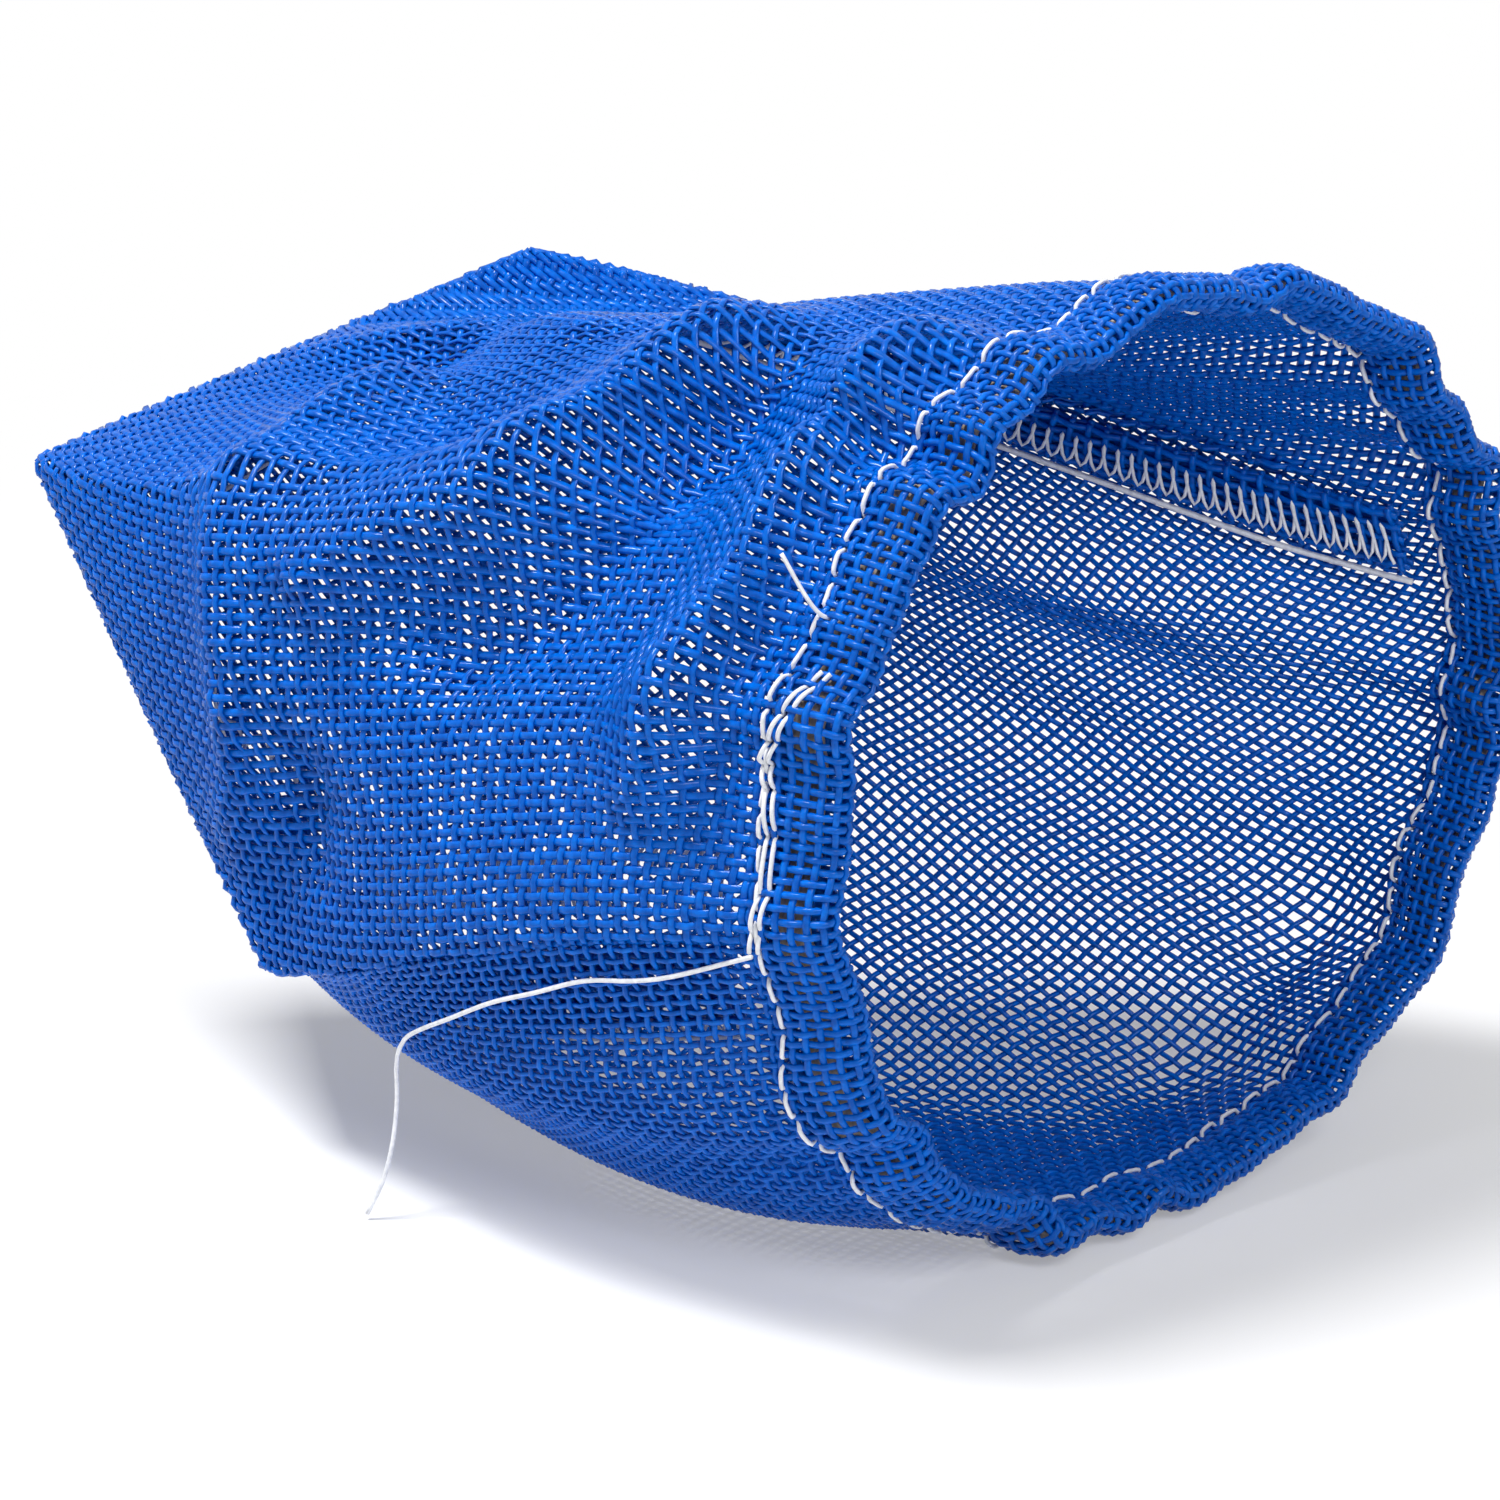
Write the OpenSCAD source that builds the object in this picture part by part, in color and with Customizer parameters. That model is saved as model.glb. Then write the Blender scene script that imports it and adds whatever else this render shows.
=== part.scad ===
// Skimmer pouch of coated mesh with a gathered elastic mouth.
// Millimetres. The mouth faces +X, +Z is up, and the belly of the pouch rests on z = 0.
// Every soft piece lies on one lofted surface: w runs across a panel from the near side
// seam (0) to the far side seam (1), and t runs from the rim (0) to the closing seam (1).

/* [Mouth] */
// Radius of the mouth, to the middle of the hem
mouth_r = 50.5; // [42:0.5:56]
// Depth of the folded hem, from its rim to its stitch line
hem_depth = 9; // [7:0.5:11]
// Number of gathers round the mouth
gather_count = 16; // [10:1:18]
// Height of one gather above the mean mouth radius
gather_h = 0.8; // [0:0.1:1.2]

/* [Cloth] */
// Thickness of the woven mesh, two yarns deep
cloth_t = 0.9; // [0.6:0.1:1.2]
// Clearance between pieces that lie on each other
gap = 0.3; // [0.2:0.05:0.4]
// Width of the seam margins inside the pouch
margin_w = 8; // [5:0.5:9]

/* [Pouch] */
// Distance from the rim back to the tip corner
tip_depth = 126; // [110:1:135]
// Distance from the rim back to the near corner
near_corner_depth = 81; // [72:1:90]
// Distance from the rim back to the far corner
far_corner_depth = 89; // [80:1:98]
// Height of the tip corner above the floor
tip_h = 70; // [60:1:80]
// Height of the near corner above the floor
near_corner_h = 21.5; // [18:0.5:30]
// Height of the far corner above the floor
far_corner_h = 94.5; // [85:0.5:100]

/* [Elastic] */
// Width of the elastic band in the hem
elastic_w = 4.2; // [3:0.1:4.8]
// Thickness of the elastic band
elastic_t = 1.2; // [0.8:0.1:1.6]
// Room between the elastic and the hem on each side
elastic_clear = 0.4; // [0.2:0.05:0.6]

/* [Threads] */
// Diameter of the hem's sewing thread
hem_thread_d = 0.5; // [0.4:0.05:0.6]
// Diameter of the overlock thread on the margins
overlock_d = 0.6; // [0.4:0.05:0.8]
// Diameter of the loose thread ends
loose_thread_d = 0.5; // [0.4:0.05:0.6]

/* [Hidden] */

mesh_blue = [0.02, 0.25, 0.78];
margin_blue = [0.02, 0.2, 0.62];
elastic_tan = [0.62, 0.57, 0.5];
thread_white = [0.88, 0.88, 0.92];

NEAR = 1;
FAR = -1;

// Where the mouth's centre stands, which puts the pouch's own box over the origin
mouth_x = 62.8;
mouth_y = 7.1;

// The hem's thickness, its hollow, and the line where its two leaves are sewn together
hem_half = elastic_t / 2 + elastic_clear + cloth_t;
hollow_half = hem_half - cloth_t;
leaf_half = cloth_t + gap / 2;
hem_flat = hem_depth - 3;
stitch_back = hem_depth - 1.2;
stitch_half = hem_half - (hem_half - leaf_half) * (stitch_back - hem_flat) / (hem_depth - gap - hem_flat);
stitch_out = stitch_half + gap / 2 + hem_thread_d / 2;
mouth_z = mouth_r + gather_h + hem_half;

// The side seams' places round the mouth, counted from +Y towards +Z
near_seam_angle = 188;
far_seam_angle = 21;

// The closing seam runs near corner, tip corner, far corner
near_corner_side = 62;
tip_side = 60;
far_corner_side = 17;
near_corner = [mouth_x - near_corner_depth, mouth_y - near_corner_side, near_corner_h];
tip_corner = [mouth_x - tip_depth, mouth_y - tip_side, tip_h];
far_corner = [mouth_x - far_corner_depth, mouth_y - far_corner_side, far_corner_h];
tip_share = 0.3;

// The pull of the loft at the mouth and at the closing seam
mouth_pull = 36;
flare_all_round = 8;
flare_near = 10;
flare_below = 13;
seam_pull = [24, 0, -2];
far_seam_swing = [6, 28, -4];
bulge_dir = [0.511, -0.756, 0.409];
near_bulge = 20;
near_bulge_loss = 14;
far_bulge = 36;
belly_sag = [10, -10, -101];
// How far along the closing seam the corners are rounded off inside the loft
corner_ease = 0.075;

// The loft's height where the hem and the cloth lie on the floor, and how softly it turns there
hem_rest = stitch_out + hem_thread_d / 2;
cloth_rest = cloth_t + gap / 2;
floor_turn = 1.5;

// Folds as [spread, height out of the pouch, [w, t] points along the crest or valley]
panel_run_w = 150;
panel_run_t = 120;
fold_round = 2;
near_folds = [
    [7, 4, [[0.47, 0.33], [0.37, 0.375], [0.3, 0.43], [0.275, 0.525], [0.255, 0.62]]],
    [6, -3.5, [[0.42, 0.28], [0.34, 0.255], [0.28, 0.24], [0.21, 0.24], [0.15, 0.27]]],
    [6, 2.5, [[0.41, 0.14], [0.35, 0.14], [0.25, 0.13], [0.16, 0.17], [0.1, 0.2]]],
    [7, 1.5, [[0.5, 0.66], [0.36, 0.6], [0.29, 0.63], [0.21, 0.7]]],
    [9, 2, [[0.72, 0.93], [0.73, 0.82], [0.6, 0.62], [0.5, 0.48]]],
    [10, -3, [[0.36, 0.52], [0.6, 0.72]]],
    [5, -2.5, [[0.03, 0.6], [0.06, 0.72]]]
];
far_folds = [
    [12, -4, [[0.75, 0.3], [0.8, 0.6]]],
    [10, 2, [[0.35, 0.35], [0.3, 0.65]]]
];

// How finely the forms are cut
near_cells_w = 40;
near_cells_t = 22;
far_cells_w = 36;
far_cells_t = 18;
ring_stations = 80;

// The loft's share that the hem takes up, and the margins' ends as shares of the panels
loft_rate = 3.2;
hem_share = hem_depth / (loft_rate * mouth_pull);
margin_start_t = hem_share + 0.03;
near_margin_end_t = 0.8;
far_margin_end_t = 0.86;
end_margin_from_w = 0.06;
end_margin_to_w = 0.94;
seam_edge_w = 0.006;
seam_edge_t = 0.99;

// The loose end of the hem's thread: along the near seam, then down to the floor.
// Its points are counted from the floor under the middle of the mouth
tail_route = [
    [-9.6, -55.9, 43], [-16.1, -58.1, 40], [-20.6, -59.5, 38.5], [-26.6, -60.9, 37],
    [-33.1, -62.3, 34], [-39.6, -62.9, 31], [-46.6, -62.9, 27], [-52.6, -62.5, 23.6],
    [-56.1, -61.9, 21.2], [-57.6, -61.8, 18.8], [-58, -61.7, 17], [-58, -61.7, 13.6],
    [-57.9, -62.5, 8.8], [-58.3, -63.7, 4.3], [-59.3, -65.2, 0.5]
];
tail_step = 1.5;
tail_lift = 0.1;

// The short thread end's place on the hem
stub_angle = 150.5;
stub_back = 5;

function lerp(a, b, k) = a + (b - a) * k;
function unit(v) = v / norm(v);
function sum(v, i = 0) = i < len(v) - 1 ? v[i] + sum(v, i + 1) : v[i];

// The angle round the mouth of a place across one panel
function place_angle(w, side) =
    near_seam_angle + (far_seam_angle + (side == NEAR ? 0 : 360) - near_seam_angle) * w;

// The rim, with its gathers
function rim_point(a) =
    let (r = mouth_r + gather_h * sin(gather_count * a))
    [mouth_x, mouth_y + r * cos(a), mouth_z + r * sin(a)];

// How far the cloth flares out behind the hem: most at the near side and below
function flare(a) = flare_all_round - flare_near * cos(a) - flare_below * sin(a);

function rim_handle(a) =
    rim_point(a) + [-mouth_pull, flare(a) * cos(a), flare(a) * sin(a)];

// The closing seam, in two straight runs that meet at the tip corner
function seam_point(w) =
    w <= tip_share
        ? lerp(near_corner, tip_corner, w / tip_share)
        : lerp(tip_corner, far_corner, (w - tip_share) / (1 - tip_share));

function seam_bulge(w, side) =
    let (crown = pow(max(0, sin(180 * w)), 0.8))
    side == NEAR
        ? bulge_dir * crown * (near_bulge - near_bulge_loss * w)
        : -bulge_dir * crown * far_bulge + belly_sag * sin(180 * w) * pow(1 - w, 2.6);

function eased_seam(w) =
    sum([for (k = [-2, -1, 0, 0, 1, 2]) seam_point(max(0, min(1, w + k * corner_ease)))]) / 6;

function seam_handle(w, side) =
    eased_seam(w) + seam_pull + far_seam_swing * pow(w, 3) + seam_bulge(w, side);

function bezier(a, b, c, d, k) =
    a * pow(1 - k, 3) + b * 3 * k * pow(1 - k, 2) + c * 3 * k * k * (1 - k) + d * pow(k, 3);

function on_floor(p, t) =
    let (rest = lerp(hem_rest, cloth_rest, max(0, min(1, t / hem_share - 1))))
    [p.x, p.y, rest + floor_turn * ln(1 + exp((p.z - rest) / floor_turn))];

// The loft from the rim to the closing seam, before and after it settles on the floor
function free_loft(w, t, side) =
    let (a = place_angle(w, side))
    bezier(rim_point(a), rim_handle(a), seam_handle(w, side), seam_point(w), t);

function loft(w, t, side) = on_floor(free_loft(w, t, side), t);

// The loft's normal, out of the pouch
function out_normal(w, t, side) =
    let (
        e = 0.004,
        across = loft(min(1, w + e), t, side) - loft(max(0, w - e), t, side),
        along = loft(w, min(1, t + e), side) - loft(w, max(0, t - e), side)
    )
    unit(cross(across, along)) * side;

function segment_distance(p, a, b) =
    let (ab = b - a, k = max(0, min(1, (p - a) * ab / (ab * ab))))
    norm(p - a - ab * k);

function fold_distance(p, line) =
    min([
        for (i = [0 : len(line) - 2])
            segment_distance(
                p,
                [line[i][0] * panel_run_w, line[i][1] * panel_run_t],
                [line[i + 1][0] * panel_run_w, line[i + 1][1] * panel_run_t]
            )
    ]);

function one_fold(f, p) =
    let (d = fold_distance(p, f[2]))
    f[1] * exp(-(sqrt(d * d + fold_round * fold_round) - fold_round) / f[0]);

// The folds die out at the seams and at the hem
function fold_height(w, t, side) =
    let (
        p = [w * panel_run_w, t * panel_run_t],
        folds = side == NEAR ? near_folds : far_folds,
        fade = min(1, 6 * w) * min(1, 6 * (1 - w)) * min(1, 16 * max(0, t - hem_share)) * min(1, 6 * (1 - t))
    )
    fade * sum([for (f = folds) one_fold(f, p)]);

// A point at one distance out from the cloth's own loft
function cloth_point(w, t, side, out) =
    let (n = out_normal(w, t, side))
    on_floor(free_loft(w, t, side) + n * fold_height(w, t, side), t) + n * out;

// The loft's place at an angle round the mouth, as [w, side]
function place_at(a) =
    let (down = (a - near_seam_angle) / (far_seam_angle + 360 - near_seam_angle))
    down <= 1
        ? [down, FAR]
        : [(near_seam_angle + 360 - a) / (near_seam_angle - far_seam_angle), NEAR];

// A point of the hem: back from the rim, and out from the middle of its thickness
function hem_point(a, back, out) =
    let (
        place = place_at(a),
        t = hem_share * back / hem_depth
    )
    loft(place[0], t, place[1]) + out_normal(place[0], hem_share / 2, place[1]) * out;

// A sheet between two distances out, over one stretch of a panel
module sheet(side, w0, w1, cells_w, t0, t1, cells_t, low, high) {
    row = cells_t + 1;
    layer = (cells_w + 1) * row;
    points = [
        for (out = [low, high])
            for (i = [0 : cells_w])
                for (j = [0 : cells_t])
                    cloth_point(lerp(w0, w1, i / cells_w), lerp(t0, t1, j / cells_t), side, out)
    ];
    skin = [
        for (i = [0 : cells_w - 1])
            for (j = [0 : cells_t - 1])
                let (a = i * row + j, b = a + row)
                each [[a, b, b + 1], [a, b + 1, a + 1]]
    ];
    lower = skin;
    upper = [for (f = skin) [f[2] + layer, f[1] + layer, f[0] + layer]];
    edge_t = [
        for (i = [0 : cells_w - 1])
            let (a = i * row, b = a + row, c = a + cells_t, d = b + cells_t)
            each [
                [b, a, a + layer], [b, a + layer, b + layer],
                [c, d, d + layer], [c, d + layer, c + layer]
            ]
    ];
    edge_w = [
        for (j = [0 : cells_t - 1])
            let (a = j, b = a + cells_w * row)
            each [
                [a, a + 1, a + 1 + layer], [a, a + 1 + layer, a + layer],
                [b + 1, b, b + layer], [b + 1, b + layer, b + 1 + layer]
            ]
    ];
    faces = concat(lower, upper, edge_t, edge_w);
    polyhedron(points, side == NEAR ? faces : [for (f = faces) [f[2], f[1], f[0]]], convexity = 8);
}

// A closed section of [back, out] points, swept once round the mouth
module hem_sweep(section) {
    n = len(section);
    points = [
        for (i = [0 : ring_stations - 1])
            for (s = section)
                hem_point(near_seam_angle + 360 * i / ring_stations, s[0], s[1])
    ];
    faces = [
        for (i = [0 : ring_stations - 1])
            for (j = [0 : n - 1])
                let (
                    k = (i + 1) % ring_stations,
                    m = (j + 1) % n
                )
                each [
                    [i * n + j, i * n + m, k * n + m],
                    [i * n + j, k * n + m, k * n + j]
                ]
    ];
    polyhedron(points, faces, convexity = 8);
}

// A round thread along a route, with flat ends
module thread(route, d, sides) {
    last = len(route) - 1;
    ahead = [
        for (i = [0 : last])
            unit(route[min(last, i + 1)] - route[max(0, i - 1)])
    ];
    points = [
        for (i = [0 : last])
            let (
                u = unit(cross(ahead[i], [0.3, 0.9, -0.2])),
                v = cross(ahead[i], u)
            )
            for (k = [0 : sides - 1])
                route[i] + (u * cos(360 * k / sides) + v * sin(360 * k / sides)) * d / 2
    ];
    walls = [
        for (i = [0 : last - 1])
            for (k = [0 : sides - 1])
                let (
                    a = i * sides + k,
                    b = i * sides + (k + 1) % sides
                )
                each [[a, a + sides, b + sides], [a, b + sides, b]]
    ];
    start = [for (k = [1 : sides - 2]) [0, k, k + 1]];
    finish = [for (k = [1 : sides - 2]) [last * sides, last * sides + k + 1, last * sides + k]];
    polyhedron(points, concat(walls, start, finish), convexity = 6);
}

// A smooth curve through hand-chosen points, in equal parts of each stretch
function smooth_point(p, i, k) =
    let (
        last = len(p) - 1,
        a = p[max(0, i - 1)], b = p[i], c = p[min(last, i + 1)], d = p[min(last, i + 2)]
    )
    0.5 * (2 * b + (c - a) * k + (2 * a - 5 * b + 4 * c - d) * k * k + (3 * b - a - 3 * c + d) * pow(k, 3));

function smooth_route(p, step) =
    concat(
        [
            for (i = [0 : len(p) - 2])
                let (parts = max(1, round(norm(p[i + 1] - p[i]) / step)))
                for (j = [0 : parts - 1])
                    smooth_point(p, i, j / parts)
        ],
        [p[len(p) - 1]]
    );

module near_panel() {
    color(mesh_blue)
        sheet(NEAR, 0, 1, near_cells_w, hem_share, 1, near_cells_t, gap / 2, gap / 2 + cloth_t);
}

module far_panel() {
    color(mesh_blue)
        sheet(FAR, 0, 1, far_cells_w, hem_share, 1, far_cells_t, gap / 2, gap / 2 + cloth_t);
}

// The panels' folded edge: an outer leaf, the rim, and an inner leaf round a hollow
module hem_casing() {
    tail = hem_depth - gap;
    color(mesh_blue)
        hem_sweep([
            [tail, leaf_half], [hem_flat, hem_half], [3, hem_half], [1, hem_half * 0.84],
            [-0.95, 0], [1, -hem_half * 0.84], [3, -hem_half], [hem_flat, -hem_half],
            [tail, -leaf_half], [tail, -gap / 2], [hem_flat, -hollow_half], [3, -hollow_half],
            [1.2, -hollow_half * 0.8], [0.1, 0], [1.2, hollow_half * 0.8], [3, hollow_half],
            [hem_flat, hollow_half], [tail, gap / 2]
        ]);
}

module elastic_band() {
    front = 1.8;
    color(elastic_tan)
        hem_sweep([
            [front + elastic_w, elastic_t / 2], [front, elastic_t / 2],
            [front, -elastic_t / 2], [front + elastic_w, -elastic_t / 2]
        ]);
}

// A round thread sewn through the hem, as one run round the mouth
module hem_thread(out) {
    r = hem_thread_d / 2;
    color(thread_white)
        hem_sweep([
            [stitch_back + r, out], [stitch_back, out + r],
            [stitch_back - r, out], [stitch_back, out - r]
        ]);
}

module hem_needle_thread() {
    hem_thread(stitch_out);
}

module hem_bobbin_thread() {
    hem_thread(-stitch_out);
}

// The bar of stitches that closes the elastic into a ring
module elastic_lap_stitch() {
    lap_angle = near_seam_angle + 90;
    out = elastic_t / 2 + hem_thread_d / 4;
    color(thread_white)
        thread(
            [for (k = [0 : 8]) hem_point(lap_angle + 1.1 * (k % 2), 2.2 + 0.42 * k, out + 0.05)],
            hem_thread_d / 3,
            4
        );
}

// The doubled stitches where the hem's seam starts and ends
module hem_backtack() {
    rows = 2;
    color(thread_white)
        for (row = [0 : rows - 1])
            thread(
                [
                    for (k = [0 : 10])
                        hem_point(
                            near_seam_angle + 360 - 12 - 1.7 * k,
                            stitch_back - hem_thread_d * (1.8 + 1.6 * row),
                            stitch_out + 0.12
                        )
                ],
                hem_thread_d,
                5
            );
}

// One margin: the two cloths' edges, pressed together and lying inside the far panel
module margin(w0, w1, cells_w, t0, t1, cells_t) {
    color(margin_blue)
        sheet(FAR, w0, w1, cells_w, t0, t1, cells_t, -gap / 2 - 2 * cloth_t, -gap / 2);
}

margin_share_w = margin_w / panel_run_w;
margin_share_t = margin_w / panel_run_t;
end_margin_w0 = end_margin_from_w + margin_share_w;
end_margin_w1 = end_margin_to_w - margin_share_w;

module near_seam_margin() {
    margin(seam_edge_w, seam_edge_w + margin_share_w, 2, margin_start_t, near_margin_end_t, 14);
}

module far_seam_margin() {
    margin(1 - seam_edge_w - margin_share_w, 1 - seam_edge_w, 2, margin_start_t, far_margin_end_t, 14);
}

module end_seam_margin() {
    margin(end_margin_w0, end_margin_w1, 24, seam_edge_t - margin_share_t, seam_edge_t, 2);
}

// The overlock's looper thread just past a margin's raw edge, through [w, t] places
module overlock(places) {
    color(thread_white)
        thread([for (p = places) cloth_point(p[0], p[1], FAR, -gap / 2 - cloth_t)], overlock_d, 5);
}

past_edge = gap + overlock_d;

module near_seam_overlock() {
    w = seam_edge_w + margin_share_w + past_edge / panel_run_w;
    overlock([for (k = [0 : 16]) [w, lerp(margin_start_t, near_margin_end_t, k / 16)]]);
}

module far_seam_overlock() {
    w = 1 - seam_edge_w - margin_share_w - past_edge / panel_run_w;
    overlock([for (k = [0 : 16]) [w, lerp(margin_start_t, far_margin_end_t, k / 16)]]);
}

module end_seam_overlock() {
    t = seam_edge_t - margin_share_t - past_edge / panel_run_t;
    overlock([for (k = [0 : 30]) [lerp(end_margin_w0, end_margin_w1, k / 30), t]]);
}

// The tail comes off the hem's last stitch, at the near seam
module thread_tail() {
    last_stitch = hem_point(
        near_seam_angle,
        stitch_back,
        stitch_out + hem_thread_d / 2 + loose_thread_d / 2 + tail_lift
    );
    route = concat([last_stitch], [for (p = tail_route) p + [mouth_x, mouth_y, 0]]);
    color(thread_white)
        thread(smooth_route(route, tail_step), loose_thread_d, 8);
}

// A short end that comes out of the hem and leans back over the panel
module thread_stub() {
    out = hem_half + gap + loose_thread_d / 2;
    color(thread_white)
        thread(
            [
                for (k = [0 : 4])
                    hem_point(stub_angle - k, stub_back + 1.6 * k, out + 0.1 * k * k)
            ],
            loose_thread_d,
            8
        );
}

near_panel();
far_panel();
hem_casing();
elastic_band();
elastic_lap_stitch();
hem_needle_thread();
hem_bobbin_thread();
hem_backtack();
near_seam_margin();
far_seam_margin();
end_seam_margin();
near_seam_overlock();
far_seam_overlock();
end_seam_overlock();
thread_tail();
thread_stub();
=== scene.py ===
"""Skimmer pouch: woven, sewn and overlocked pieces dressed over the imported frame.

The cloth follows the same loft as the solids. All lofting is in millimetres, in the part's
frame, and is scaled to metres when a mesh is made. w runs across a panel from the near
seam (0) to the far seam (1), t from the rim (0) to the closing seam (1). Distances "out"
are along the cloth's outward normal, and "back" is back from the rim along the hem.
"""
import math

import bpy
import numpy as np
from mathutils import Matrix


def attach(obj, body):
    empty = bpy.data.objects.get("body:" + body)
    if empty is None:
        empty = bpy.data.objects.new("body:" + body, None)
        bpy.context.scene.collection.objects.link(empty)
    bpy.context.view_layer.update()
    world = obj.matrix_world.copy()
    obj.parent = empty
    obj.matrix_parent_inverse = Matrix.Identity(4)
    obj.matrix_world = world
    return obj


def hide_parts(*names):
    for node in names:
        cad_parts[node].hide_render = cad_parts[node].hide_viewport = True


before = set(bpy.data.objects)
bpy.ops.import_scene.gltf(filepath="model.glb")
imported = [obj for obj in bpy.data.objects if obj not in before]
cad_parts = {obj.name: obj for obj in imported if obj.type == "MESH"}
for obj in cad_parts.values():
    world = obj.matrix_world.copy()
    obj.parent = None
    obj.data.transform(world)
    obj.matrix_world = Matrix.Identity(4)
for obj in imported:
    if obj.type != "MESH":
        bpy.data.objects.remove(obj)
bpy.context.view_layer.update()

MM = 0.001
NEAR, FAR = 1, -1

# ---------------------------------------------------------------- the loft
MOUTH = np.array([62.8, 7.1, 53.2])
MOUTH_R, GATHER_N, GATHER_H = 50.5, 16, 0.8
NEAR_SEAM, FAR_SEAM = 188.0, 21.0
HEM_DEPTH, PULL, LOFT_RATE = 9.0, 36.0, 3.2
HEM_T = HEM_DEPTH / (LOFT_RATE * PULL)
FLARE_ALL_ROUND, FLARE_NEAR, FLARE_BELOW = 8, 10, 13
NEAR_CORNER = np.array([MOUTH[0] - 81, MOUTH[1] - 62, 21.5])
TIP_CORNER = np.array([MOUTH[0] - 126, MOUTH[1] - 60, 70.0])
FAR_CORNER = np.array([MOUTH[0] - 89, MOUTH[1] - 17, 94.5])
TIP_W = 0.3
BULGE = np.array([0.511, -0.756, 0.409])
SEAM_PULL = np.array([24.0, 0, -2])
FAR_SWING = np.array([6.0, 28, -4])
SAG = np.array([10.0, -10, -101])
EASE = 0.075
HEM_REST, CLOTH_REST, TURN = 1.98, 1.05, 1.5
RUN_W, RUN_T = 150.0, 120.0
FOLD_ROUND = 2.0
# Folds are (spread, height, [(w, t), ...]) with spread and height in mm. Those of the solids:
NEAR_FOLDS = [
    (7, 4, [(0.47, 0.33), (0.37, 0.375), (0.3, 0.43), (0.275, 0.525), (0.255, 0.62)]),
    (6, -3.5, [(0.42, 0.28), (0.34, 0.255), (0.28, 0.24), (0.21, 0.24), (0.15, 0.27)]),
    (6, 2.5, [(0.41, 0.14), (0.35, 0.14), (0.25, 0.13), (0.16, 0.17), (0.1, 0.2)]),
    (7, 1.5, [(0.5, 0.66), (0.36, 0.6), (0.29, 0.63), (0.21, 0.7)]),
    (9, 2, [(0.72, 0.93), (0.73, 0.82), (0.6, 0.62), (0.5, 0.48)]),
    (10, -3, [(0.36, 0.52), (0.6, 0.72)]),
    (5, -2.5, [(0.03, 0.6), (0.06, 0.72)]),
]
FAR_FOLDS = [
    (12, -4, [(0.75, 0.3), (0.8, 0.6)]),
    (10, 2, [(0.35, 0.35), (0.3, 0.65)]),
]
# Finer creases, which only the scene's cloth has:
NEAR_CREASES = [
    (3.5, 5.5, [(0.43, 0.316), (0.335, 0.356), (0.275, 0.408), (0.255, 0.488),
                (0.235, 0.563)]),
    (5, -5.0, [(0.38, 0.285), (0.27, 0.29), (0.2, 0.34), (0.18, 0.42)]),
    (4, 5.0, [(0.39, 0.13), (0.25, 0.125), (0.095, 0.19)]),
    (3, -4.5, [(0.33, 0.095), (0.21, 0.09), (0.09, 0.12)]),
    (5, 4.0, [(0.45, 0.632), (0.33, 0.66), (0.205, 0.684)]),
    (7, 3.0, [(0.67, 0.937), (0.67, 0.764), (0.5, 0.5)]),
    (4, -5.0, [(0.04, 0.87), (0.065, 0.74), (0.11, 0.68)]),
    (3, 4.0, [(0.08, 0.9), (0.12, 0.78), (0.16, 0.72)]),
]
FAR_CREASES = [
    (8, 4.0, [(0.66, 0.5), (0.73, 0.36), (0.78, 0.2)]),
    (8, -4.0, [(0.76, 0.58), (0.82, 0.42), (0.88, 0.26)]),
    (5, 4.0, [(0.38, 0.15), (0.48, 0.16), (0.565, 0.18), (0.68, 0.15)]),
]
FOLDS = {NEAR: NEAR_FOLDS + NEAR_CREASES, FAR: FAR_FOLDS + FAR_CREASES}


def lerp(a, b, k):
    return a + (b - a) * k


def unit(v):
    return v / np.maximum(np.linalg.norm(v, axis=-1, keepdims=True), 1e-9)


def place_angle(w, side):
    """Degrees round the mouth, from +Y towards +Z."""
    end = FAR_SEAM + (0 if side == NEAR else 360)
    return NEAR_SEAM + (end - NEAR_SEAM) * w


def pucker(a, t):
    """Fine gathers of the hem and of the cloth just behind it, outwards."""
    r = np.radians(a)
    fine = 0.55 * np.sin(29 * r + 1.1) + 0.45 * np.sin(37 * r + 2.4 + 0.8 * np.sin(5 * r))
    slow = 0.5 * np.sin(7 * r + 0.6) + 0.4 * np.sin(11 * r + 3.0)
    uneven = 0.9 + 0.5 * np.sin(3 * r + 1)
    at_hem = fine * uneven * np.exp(-((t / 0.16) ** 2))
    return at_hem + slow * 0.6 * np.exp(-((t / 0.3) ** 2))


def rim_point(a):
    r = np.radians(a)
    radius = MOUTH_R + GATHER_H * np.sin(GATHER_N * r)
    return np.stack([0 * r, radius * np.cos(r), radius * np.sin(r)], -1) + MOUTH


def rim_handle(a):
    r = np.radians(a)
    flare = FLARE_ALL_ROUND - FLARE_NEAR * np.cos(r) - FLARE_BELOW * np.sin(r)
    return rim_point(a) + np.stack([0 * r - PULL, flare * np.cos(r), flare * np.sin(r)], -1)


def seam_point(w):
    w = np.clip(w, 0, 1)[..., None]
    low = lerp(NEAR_CORNER, TIP_CORNER, np.clip(w / TIP_W, 0, 1))
    high = lerp(TIP_CORNER, FAR_CORNER, np.clip((w - TIP_W) / (1 - TIP_W), 0, 1))
    return np.where(w <= TIP_W, low, high)


def seam_handle(w, side):
    eased = sum(seam_point(w + k * EASE) for k in (-2, -1, 0, 0, 1, 2)) / 6
    c = np.clip(w, 0, 1)[..., None]
    wave = np.maximum(np.sin(np.pi * c), 0)
    crown = BULGE * wave**0.8
    if side == NEAR:
        swell = crown * (20 - 14 * c)
    else:
        swell = -crown * 36 + SAG * wave * (1 - c) ** 2.6
    return eased + SEAM_PULL + FAR_SWING * c**3 + swell


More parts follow.
